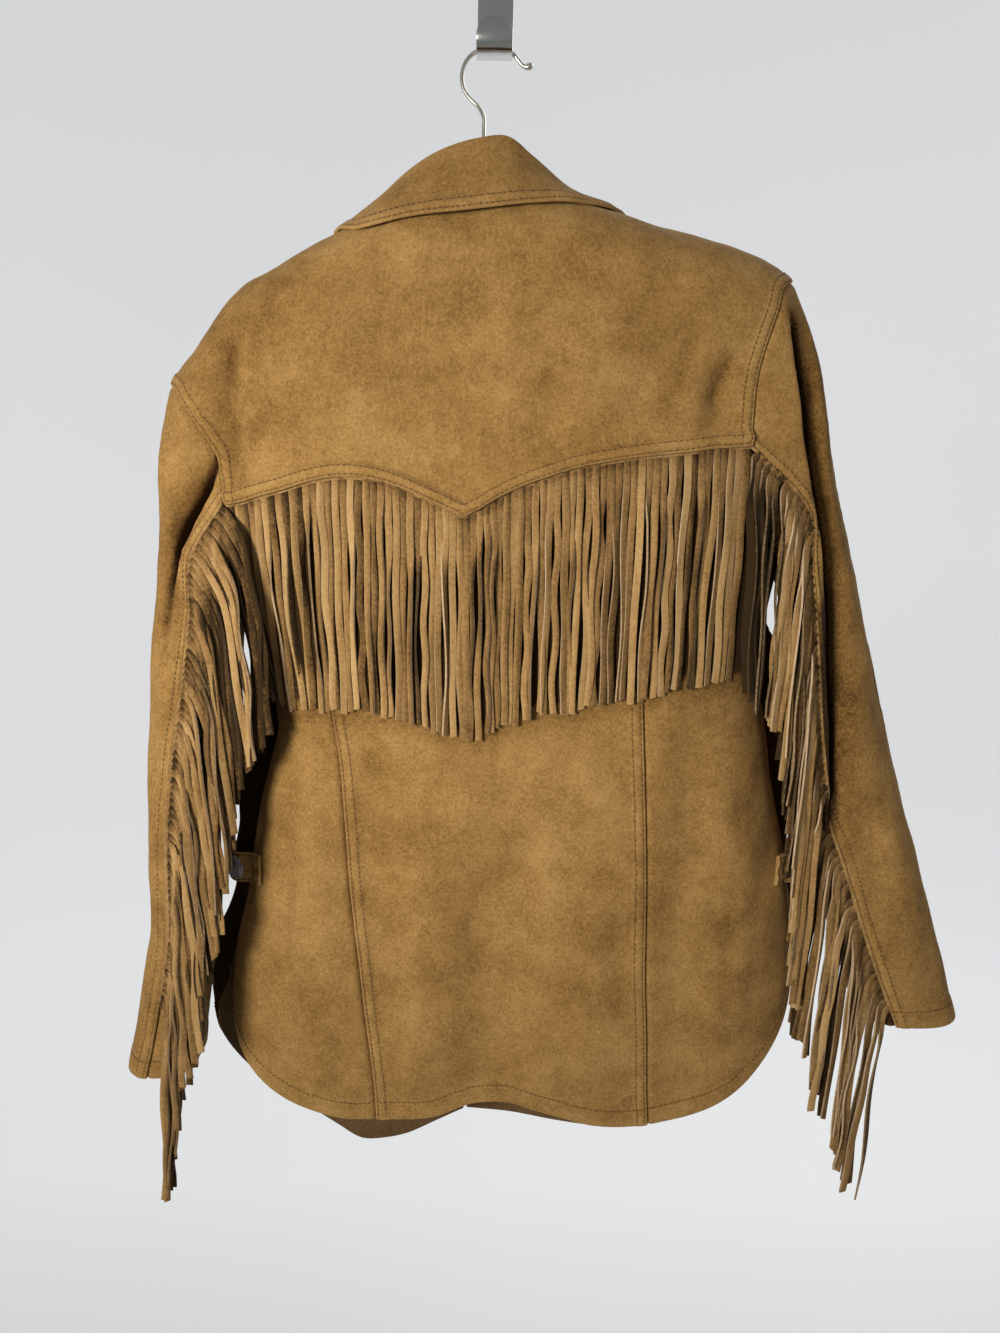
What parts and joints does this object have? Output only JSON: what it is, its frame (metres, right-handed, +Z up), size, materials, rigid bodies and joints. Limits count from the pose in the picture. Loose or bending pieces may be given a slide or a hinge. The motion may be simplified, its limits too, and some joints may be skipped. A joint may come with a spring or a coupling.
{
  "type": "fringed suede jacket on a hanger and an over-door hook",
  "caption": "Western suede jacket with a pointed back yoke and long cut fringe across the back and down the sleeves, buttoned, hung on a hanger from an over-door hook.",
  "frame": {"origin": "the top front edge of the door, in the middle of the hook's strap", "axes": "+Z up, +Y from the room into the door, +X to the right as the jacket's back is seen"},
  "size_m": [0.7465, 0.1398, 1.0695],
  "materials": {
    "suede": "napped suede",
    "fringe_suede": "napped suede, cut strands",
    "buttons": "mottled dark horn",
    "hanger_wood": "satin",
    "hook_wire": "bright wire",
    "door_hook_steel": "polished strap"
  },
  "bodies": {
    "root": {"back_yoke": "suede", "back_panel_centre": "suede", "back_panel_left": "suede", "back_panel_right": "suede", "front_left": "suede", "front_right": "suede", "front_placket": "suede", "front_button_1": "buttons", "front_button_2": "buttons", "front_button_3": "buttons", "front_button_4": "buttons", "front_button_5": "buttons", "front_button_6": "buttons", "sleeve_left_outer": "suede", "sleeve_left_under": "suede", "sleeve_right_outer": "suede", "sleeve_right_under": "suede", "fringe_back": "fringe_suede", "fringe_sleeve_left": "fringe_suede", "fringe_sleeve_right": "fringe_suede", "collar_stand": "suede", "collar_fall": "suede", "tab_left": "suede", "tab_button_left": "buttons", "tab_right": "suede", "tab_button_right": "buttons", "hanger_bar": "hanger_wood", "hanger_hook": "hook_wire", "door_hook": "door_hook_steel"}
  },
  "joints": []
}
